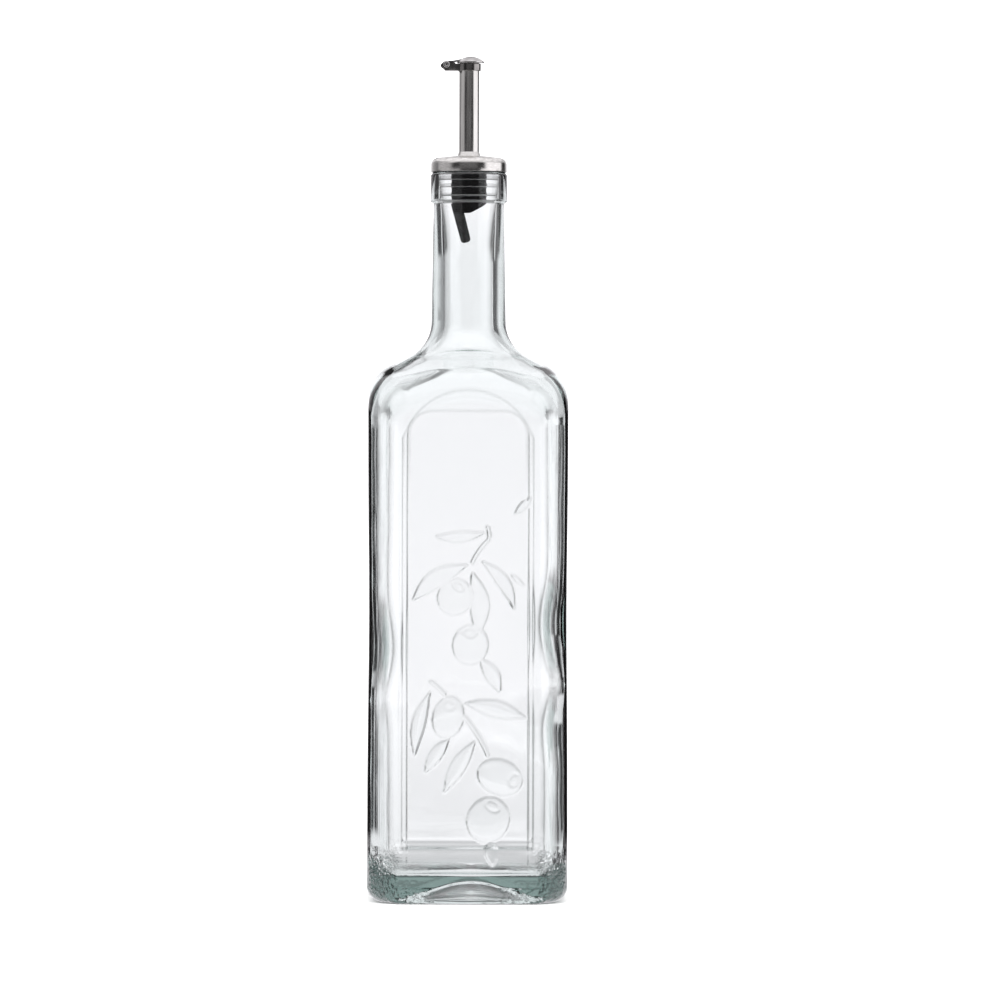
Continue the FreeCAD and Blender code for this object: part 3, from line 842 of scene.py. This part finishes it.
def brushed_steel(name, streak_along):
    """Stainless steel with fine streaks: `streak_along` gives the streaks' texture place from x, y, z."""
    finish, link = new_finish(name)
    place = link.node("TexCoord", output=3)
    x, y, z = (link.node("SeparateXYZ", values={0: place}, output=axis) for axis in range(3))
    across = link.node("CombineXYZ", values=dict(enumerate(streak_along(link, x, y, z))))
    streak = link.node("TexNoise", values={"Vector": across, "Scale": 1.0, "Detail": 4.0, "Roughness": 0.7})
    cloud = link.node("TexNoise", values={"Vector": place, "Scale": 190.0, "Detail": 3.0})
    colour = link.node("ValToRGB", {"stops": [(0.3, STEEL_DARK), (0.7, STEEL_LIGHT)]}, {0: streak})
    normal = link.node("Bump", values={"Height": streak, "Strength": 0.3, "Distance": 0.00003})
    close_finish(link, link.node("BsdfPrincipled", values={
        "Base Color": colour,
        "Metallic": 1.0,
        "Roughness": 0.06 + 0.12 * streak + 0.06 * cloud,
        "Normal": normal,
    }))
    return finish


def round_the_axis(link, x, y, z):
    """Slow with the compass angle, fast with the way across the cup's section."""
    reach = link.node("Math", {"operation": "SQRT"}, {0: x * x + y * y})
    return x / reach * BRUSHING_ROUND, y / reach * BRUSHING_ROUND, (reach + z) * BRUSHING_ACROSS


cap_steel = brushed_steel("brushed_cap", round_the_axis)
cap = make_piece("cover_cap_visual", [skin(cap_points(), loop=True)], cap_steel)
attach(cap, "pourer")
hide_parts("cover_cap")

# Spout: a straight stainless tube, drawn and brushed lengthwise. It is pressed through the cap's eyelet into
# the plug.

TUBE_BOTTOM = node_box("spout_tube")[0][2]
TUBE_TOP = node_box("spout_tube")[1][2]
TUBE_WALL = 0.6
TUBE_FOOT_ROUNDING = 0.1
TUBE_LIP_ROUNDING = 0.2
DRAWING_ACROSS = 2600
DRAWING_ALONG = 70


def along_the_axis(link, x, y, z):
    """Fast across the tube, slow along it."""
    return x * DRAWING_ACROSS, y * DRAWING_ACROSS, z * DRAWING_ALONG


spout_points = turned(rounded([
    (TUBE, TUBE_BOTTOM, TUBE_FOOT_ROUNDING),
    (TUBE, TUBE_TOP, TUBE_LIP_ROUNDING),
    (TUBE - TUBE_WALL, TUBE_TOP, TUBE_LIP_ROUNDING),
    (TUBE - TUBE_WALL, TUBE_BOTTOM, TUBE_FOOT_ROUNDING),
]))
tube_steel = brushed_steel("brushed_tube", along_the_axis)
spout = make_piece("spout_tube_visual", [skin(spout_points, loop=True)], tube_steel)
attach(spout, "pourer")
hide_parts("spout_tube")

# Hinge strap: polished steel sheet folded round the tube's top and spot-welded there. Its two ends run on
# side by side as ears for the hinge, over a floor that stops the flap.

STRAP_SHEET = 0.6
STRAP_BOTTOM = 324.3
BAND_TOP = 327.1
EAR_PLANE = 2.6
EAR_TIP = node_box("hinge_strap")[0][0]
EAR_TOP = 328.2
EAR_BOTTOM = 324.75
EAR_TIP_HEIGHT = 326.4
EAR_TIP_HALF = 0.3
EAR_LOWER_BEVEL = 1.7
EAR_UPPER_BEVEL = 1.75
EAR_LOWER_STEP = (-6.0, -4.2)
EAR_UPPER_STEP = (-6.4, -5.4)
FOLD = 0.9
WELD_GAP = 0.03
PIN_X = -8.95
PIN_HEIGHT = 326.8
FLOOR_PAST_PIN = 0.6
FLOOR_LAP = 0.1
# Painted shade: the strap's steel is set far darker than the other steel parts, so that its ears look dark.
STRAP_DARK = (0.16, 0.155, 0.15)
STRAP_LIGHT = (0.32, 0.31, 0.3)


def bent_sheet(path, low, high, gauge):
    """Sheet on edge along a plan path, from `low` to `high`: every station is a ring round the sheet's
    section, with its edges eased."""
    along = np.gradient(path, axis=0)
    along = along / np.hypot(*along.T)[:, None]
    aside = np.stack([along[:, 1], -along[:, 0]], -1)
    offset = gauge * np.array([0.5, 0.5, 0.3, -0.3, -0.5, -0.5, -0.3, 0.3])
    easing = 0.2 * gauge * np.array([1, -1, 0, 0, -1, 1, 0, 0])
    raised = np.array([0, 1, 1, 1, 1, 0, 0, 0])
    plan = path[:, None] + offset[:, None] * aside[:, None]
    height = low[:, None] + raised * (high - low)[:, None] + easing
    return np.concatenate([plan, height[..., None]], -1)


def strap_path():
    """Plan of the strap: along one ear, by a fold out round the tube, and by a fold back along the other."""
    band = TUBE + STRAP_SHEET / 2 + WELD_GAP
    fold_x = -np.sqrt((band + FOLD) ** 2 - (EAR_PLANE + FOLD) ** 2)
    ear = np.linspace(EAR_TIP, fold_x, 24)
    meeting = np.arctan2(EAR_PLANE + FOLD, -fold_x)
    turn = np.linspace(np.pi / 2, meeting, 9)[1:]
    front_ear = np.stack([ear, 0 * ear - EAR_PLANE], -1)
    front_fold = np.stack([fold_x + FOLD * np.cos(turn), FOLD * np.sin(turn) - EAR_PLANE - FOLD], -1)
    round_tube = np.linspace(np.pi + meeting, 3 * np.pi - meeting, 66)[1:-1]
    tube_band = band * np.stack([np.cos(round_tube), np.sin(round_tube)], -1)
    front = np.vstack([front_ear, front_fold])
    return np.vstack([front, tube_band, front[::-1] * (1, -1)])


def polished_steel(name, dark, light):
    """Steel sheet with fine scratches, its polish worn a little cloudy between a dark and a light grey."""
    finish, link = new_finish(name)
    place = link.node("TexCoord", output=3)
    cloud = link.node("TexNoise", values={"Vector": place, "Scale": 330.0, "Detail": 4.0})
    turned_place = link.node("Mapping", values={"Vector": place, "Rotation": (0.3, 0.2, 0.5),
                                                "Scale": (300.0, 4000.0, 4000.0)})
    scratch = link.node("TexNoise", values={"Vector": turned_place, "Scale": 1.0, "Detail": 2.0})
    colour = link.node("ValToRGB", {"stops": [(0.35, dark), (0.65, light)]}, {0: cloud})
    normal = link.node("Bump", values={"Height": scratch, "Strength": 0.2, "Distance": 0.00002})
    close_finish(link, link.node("BsdfPrincipled", values={
        "Base Color": colour,
        "Metallic": 1.0,
        "Roughness": 0.06 + 0.16 * cloud,
        "Normal": normal,
    }))
    return finish


strap_plan = strap_path()
strap_low = np.interp(strap_plan[:, 0], [EAR_TIP, EAR_TIP + EAR_LOWER_BEVEL, *EAR_LOWER_STEP],
                      [EAR_TIP_HEIGHT - EAR_TIP_HALF, EAR_BOTTOM, EAR_BOTTOM, STRAP_BOTTOM])
strap_high = np.interp(strap_plan[:, 0], [EAR_TIP, EAR_TIP + EAR_UPPER_BEVEL, *EAR_UPPER_STEP],
                       [EAR_TIP_HEIGHT + EAR_TIP_HALF, EAR_TOP, EAR_TOP, BAND_TOP])
floor_x = np.linspace(PIN_X - FLOOR_PAST_PIN, -TUBE - STRAP_SHEET / 2, 6)
floor_line = np.stack([floor_x, np.full(len(floor_x), STRAP_BOTTOM + STRAP_SHEET / 2)], -1)
floor_edge = np.full(len(floor_x), EAR_PLANE + STRAP_SHEET / 2 + FLOOR_LAP)
floor_sheet = bent_sheet(floor_line, -floor_edge, floor_edge, STRAP_SHEET)[..., [0, 2, 1]]
strap_skins = [skin(bent_sheet(strap_plan, strap_low, strap_high, STRAP_SHEET)), skin(floor_sheet)]
# Steel of the strap, darkened by painted shade.
strap_shaded_polish = polished_steel("shaded_polish", STRAP_DARK, STRAP_LIGHT)
strap = make_piece("hinge_strap_visual", strap_skins, strap_shaded_polish)
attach(strap, "pourer")
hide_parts("hinge_strap")

# Hinge pin: a hollow rivet of bright steel through both ears. It is spread at each end into a round head with
# a dimple.

PIN = 0.75
PIN_HEAD = 1.3
PIN_HEAD_ROUNDING = 0.3
PIN_HEAD_BURR = 0.05
PIN_END = node_box("hinge_pin")[1][1]
DIMPLE = 0.62
DIMPLE_FOOT = 0.45
DIMPLE_DEPTH = 0.5
DIMPLE_DISH = 0.05
DIMPLE_ROUNDING = 0.12
DIMPLE_FOOT_ROUNDING = 0.1
POLE = 0.05
EAR_OUTSIDE = EAR_PLANE + STRAP_SHEET / 2
PIN_DARK = (0.56, 0.55, 0.54)
PIN_LIGHT = (0.72, 0.71, 0.7)

pin_half = rounded([
    (PIN, 0, 0),
    (PIN, EAR_OUTSIDE, 0),
    (PIN_HEAD, EAR_OUTSIDE, PIN_HEAD_BURR),
    (PIN_HEAD, PIN_END, PIN_HEAD_ROUNDING),
    (DIMPLE, PIN_END, DIMPLE_ROUNDING),
    (DIMPLE_FOOT, PIN_END - DIMPLE_DEPTH + DIMPLE_DISH, DIMPLE_FOOT_ROUNDING),
    (POLE, PIN_END - DIMPLE_DEPTH, 0),
])[1:]
pin_profile = np.vstack([pin_half[::-1] * (1, -1), pin_half])
pin_points = turned(pin_profile, columns=48)[..., [0, 2, 1]] + (PIN_X, 0, PIN_HEIGHT)
pin_polish = polished_steel("bright_polish", PIN_DARK, PIN_LIGHT)
pin = make_piece("hinge_pin_visual", [skin(pin_points)], pin_polish)
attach(pin, "pourer")
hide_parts("hinge_pin")

# Flap: a domed lid stamped from polished sheet with an arm, folded down at its end into two lugs that turn on
# the pin. Its own weight opens it when the bottle is tipped.

LID_X = 0.6
LID = 5.4
LID_SEAT = 327.4
LID_EDGE = 327.85
LID_TOP = node_box("flap_lid")[1][2]
LID_ROUNDING = 0.2
LID_HOLLOW = 3.4
LID_HOLLOW_TOP = 3.1
LID_HOLLOW_DEPTH = 1.3
LID_HOLLOW_DISH = 0.1
ARM_SHEET = 0.8
ARM_TOP = 328.3
ARM_HEEL = 0.7
ARM_CRANK = (-6.6, -5.2)
ARM_CRANK_RISE = 0.3
ARM_LAP = 2.2
ARM_LAP_RISE = 0.75
LUG_INSIDE = 1.4
LUG_OUTSIDE = 2.1
LUG = 1.5
LUG_BORE = 0.81
FLAP_DARK = (0.42, 0.41, 0.4)
FLAP_LIGHT = (0.6, 0.59, 0.58)


def lid_points():
    """Dome of a ball over a thin rim, and the hollow under it, turned about the lid's own axis."""
    rise = LID_TOP - LID_EDGE
    ball = (LID ** 2 + rise ** 2) / (2 * rise)
    reach = np.linspace(POLE, LID, 24)
    dome = np.stack([reach, LID_TOP - ball + np.sqrt(ball ** 2 - reach ** 2)], -1)
    under = rounded([
        (LID, LID_EDGE, 0),
        (LID, LID_SEAT, LID_ROUNDING),
        (LID_HOLLOW, LID_SEAT, LID_ROUNDING),
        (LID_HOLLOW_TOP, LID_SEAT + LID_HOLLOW_DEPTH - LID_HOLLOW_DISH, 2 * LID_ROUNDING),
        (POLE, LID_SEAT + LID_HOLLOW_DEPTH, 0),
    ])[1:]
    return turned(np.vstack([dome, under])) + (LID_X, 0, 0)


def lug_points(side):
    """Plate round the pin's hole: half a circle below, and square up to the arm above."""
    around = np.linspace(0, 2 * np.pi, 64, endpoint=False)
    to_side = LUG / np.maximum(np.abs(np.cos(around)), 1e-3)
    to_arm = (ARM_TOP - ARM_SHEET / 2 - PIN_HEIGHT) / np.maximum(np.sin(around), 1e-3)
    outer = np.where(np.sin(around) > 0, np.minimum(to_side, to_arm), LUG)
    reach = np.stack([outer, outer, LUG_BORE + 0 * outer, LUG_BORE + 0 * outer])
    depth = side * np.array([LUG_INSIDE, LUG_OUTSIDE, LUG_OUTSIDE, LUG_INSIDE])[:, None] + 0 * reach
    return np.stack([PIN_X + reach * np.cos(around), depth, PIN_HEIGHT + reach * np.sin(around)], -1)


arm_x = np.linspace(PIN_X - ARM_HEEL, LID_X - LID + ARM_LAP, 24)
arm_rise = np.interp(arm_x, [*ARM_CRANK, arm_x[-1]], [0, ARM_CRANK_RISE, ARM_LAP_RISE])
arm_line = np.stack([arm_x, ARM_TOP + arm_rise - ARM_SHEET / 2], -1)
arm_edge = np.full(len(arm_x), LUG_OUTSIDE)
arm_sheet = bent_sheet(arm_line, -arm_edge, arm_edge, ARM_SHEET)[..., [0, 2, 1]]
lug_skins = [skin(lug_points(side), loop=True) for side in (-1, 1)]
flap_polish = polished_steel("flap_polish", FLAP_DARK, FLAP_LIGHT)
flap = make_piece("flap_lid_visual", [skin(lid_points()), skin(arm_sheet), *lug_skins], flap_polish)
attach(flap, "flap")
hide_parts("flap_lid")

# Studio: a plain pale floor under an even white sky. A tent of glowing cloth that only glass and steel mirror
# stands round it, bright behind, above and at the right front, with dark gaps beside the backdrop and a dark
# camera side.

FLOOR_REACH = 6.0
TENT_RADIUS = 1.3
TENT_HEIGHT = 1.5
TENT_ROOF = 1.8
ROOF_SEAM = 0.02
GROUND_SEAM = 0.01
TENT_MIDDLE = 0.002
TENT_BOTTOM = -0.0004
FLOOR_LEVEL = -0.0002
FLOOR_COLOUR = (0.96, 0.96, 0.96, 1)

# Heights between which the wall's glow passes from low to middle, to high and to top.
MIDDLE_FROM = (0.22, 0.27)
HIGH_FROM = (0.56, 0.68)
TOP_FROM = (0.9, 0.98)

# Glow of the wall as (compass degrees from the right hand round by the back, brightness).
LOW_GLOW = [
    (0, 0.5), (6, 0.03), (32, 0.03), (34, 0.7), (37, 0.7), (39, 0.03), (61, 0.03), (65, 0.3), (69, 0.65),
    (73, 0.88), (78, 1.0), (82, 1.06), (98, 1.06), (102, 1.0), (107, 0.88), (111, 0.65), (115, 0.3),
    (119, 0.03), (140, 0.03), (142, 0.7), (145, 0.7), (147, 0.03), (172, 0.03), (178, 0.6), (240, 0.5),
    (247, 0.0), (304, 0.02), (309, 1.3), (359, 1.3),
]
MIDDLE_GLOW = [
    (0, 1.3), (20, 1.3), (28, 0.03), (45, 0.03), (52, 0.35), (59, 0.62), (66, 0.88), (74, 1.04), (106, 1.04),
    (112, 0.8), (118, 0.72), (124, 0.6), (131, 0.48), (138, 0.36), (148, 0.3), (155, 0.25), (160, 0.2),
    (168, 0.5), (205, 0.5), (214, 0.3), (222, 0.04), (238, 0.04), (246, 0.14), (290, 0.14), (300, 0.04),
    (316, 0.04), (326, 1.3), (359, 1.3),
]
HIGH_GLOW = [
    (0, 0.9), (40, 0.55), (56, 0.55), (65, 0.6), (74, 0.75), (79, 0.5), (83, 0.42), (87, 0.5), (95, 0.5),
    (97.5, 0.06), (105, 0.06), (109, 0.55), (113, 0.85), (126, 0.8), (131, 0.45), (160, 0.4), (172, 0.5),
    (200, 0.7), (215, 0.9), (235, 0.35), (305, 0.35), (325, 1.0), (359, 0.9),
]
TOP_GLOW = [(0, 1.0), (74, 1.0), (84, 0.5), (96, 0.5), (106, 1.0), (359, 1.0)]

# Glow of the floor behind the bottle as (share of the way to the wall, brightness).
FLOOR_GLOW = [
    (0.0, 1.0), (0.026, 1.0), (0.032, 0.6), (0.06, 0.62), (0.085, 0.68), (0.12, 0.76), (0.2, 0.86),
    (0.29, 0.9), (0.51, 0.92), (0.83, 0.95), (1.0, 1.04),
]
FRONT_FLOOR_GLOW = 0.9
BEHIND = (0.2, 0.7)
FLOOR_FADE = (0.3, 0.45)
ROOF_GLOW = 1.15
ROOF_DIP = 0.3
ROOF_DIP_FROM = (0.25, 0.6)
TENT_TINT = (1.02, 1.0, 1.03)
TENT_STRENGTH = 1.15
SKY_STRENGTH = 1.9


def pale_floor():
    """Almost white, matt."""
    finish, link = new_finish("pale_floor")
    close_finish(link, link.node("BsdfDiffuse", values={"Color": FLOOR_COLOUR}))
    return finish


def tent_cloth():
    """Glow by compass direction at four heights of the wall; the roof's is by its way to the back, and the
    floor's by its distance from the bottle, passing into the low wall's."""
    finish, link = new_finish("tent_cloth")
    place = link.node("TexCoord", output=3)
    across, deep, up = (link.node("SeparateXYZ", values={0: place}, output=axis) for axis in range(3))

    def ramp(value, stops, full):
        return link.node("ValToRGB", {"stops": [(stop / full, glow) for stop, glow in stops]}, {0: value})

    compass = link.node("Math", {"operation": "ARCTAN2"}, {0: deep, 1: across}) / (2 * np.pi) + 1
    compass = link.node("Math", {"operation": "FRACT"}, {0: compass})
    reach = link.node("Math", {"operation": "SQRT"}, {0: across * across + deep * deep})
    low_glow, middle_glow, high_glow, top_glow = (
        ramp(compass, stops, 360) for stops in (LOW_GLOW, MIDDLE_GLOW, HIGH_GLOW, TOP_GLOW))
    middle = up.step(*MIDDLE_FROM)
    high = up.step(*HIGH_FROM)
    top = up.step(*TOP_FROM)
    wall = low_glow * (1 - middle) + middle_glow * (middle - high) + high_glow * (high - top) + top_glow * top
    roof = ROOF_GLOW - ROOF_DIP * deep.step(*ROOF_DIP_FROM)
    behind = (deep / reach).step(*BEHIND)
    ground = ramp(reach / TENT_RADIUS, FLOOR_GLOW, 1) * behind + FRONT_FLOOR_GLOW * (1 - behind)
    ground = ground * (1 - reach.step(*FLOOR_FADE) * (1 - low_glow))
    on_roof = up.step(TENT_HEIGHT - ROOF_SEAM, TENT_HEIGHT + ROOF_SEAM)
    on_ground = 1 - up.step(0.0, GROUND_SEAM)
    glow = (wall * (1 - on_roof) + roof * on_roof) * (1 - on_ground) + ground * on_ground
    tinted = link.node("CombineXYZ", values={axis: glow * share for axis, share in enumerate(TENT_TINT)})
    close_finish(link, link.node("Emission", values={"Color": tinted, "Strength": TENT_STRENGTH}))
    finish.cycles.emission_sampling = "NONE"
    return finish


tent_profile = np.array([
    (TENT_MIDDLE, TENT_BOTTOM),
    (TENT_RADIUS, TENT_BOTTOM),
    (TENT_RADIUS, TENT_HEIGHT),
    (TENT_MIDDLE, TENT_ROOF),
])
tent = make_piece("studio_tent", [skin(turned(tent_profile / MM, columns=96))], tent_cloth())
tent.visible_camera = False
tent.visible_diffuse = False
tent.visible_shadow = False

floor_rim = turned(np.array([(FLOOR_REACH, FLOOR_LEVEL)]), columns=96)[0]
floor_mesh = bpy.data.meshes.new("studio_floor")
floor_mesh.from_pydata(floor_rim, [], [list(range(len(floor_rim)))])
floor_mesh.materials.append(pale_floor())
floor = bpy.data.objects.new("studio_floor", floor_mesh)
bpy.context.scene.collection.objects.link(floor)
floor.visible_transmission = False
floor.visible_glossy = False

sky = bpy.data.worlds.new("white_sky")
sky.use_nodes = True
sky_light = sky.node_tree.nodes["Background"]
sky_light.inputs["Color"].default_value = (1, 1, 1, 1)
sky_light.inputs["Strength"].default_value = SKY_STRENGTH
scene = bpy.context.scene
scene.world = sky
scene.view_settings.view_transform = "Standard"
scene.cycles.max_bounces = 32
scene.cycles.transmission_bounces = 32
scene.cycles.glossy_bounces = 8

CAMERA_PLACE = Vector((0.0, -2.2, 0.1638))
CAMERA_AIM = Vector((0.01252, 0.0, 0.1559))
CAMERA_ROLL = np.radians(0.15)
CAMERA_SENSOR = 36.0
CAMERA_LENS = 201.6
camera_data = bpy.data.cameras.new("camera")
camera_data.sensor_width = CAMERA_SENSOR
camera_data.lens = CAMERA_LENS
camera = bpy.data.objects.new("camera", camera_data)
scene.collection.objects.link(camera)
camera.location = CAMERA_PLACE
aim = (CAMERA_AIM - CAMERA_PLACE).to_track_quat("-Z", "Y") @ Quaternion((0, 0, 1), CAMERA_ROLL)
camera.rotation_euler = aim.to_euler()
scene.camera = camera
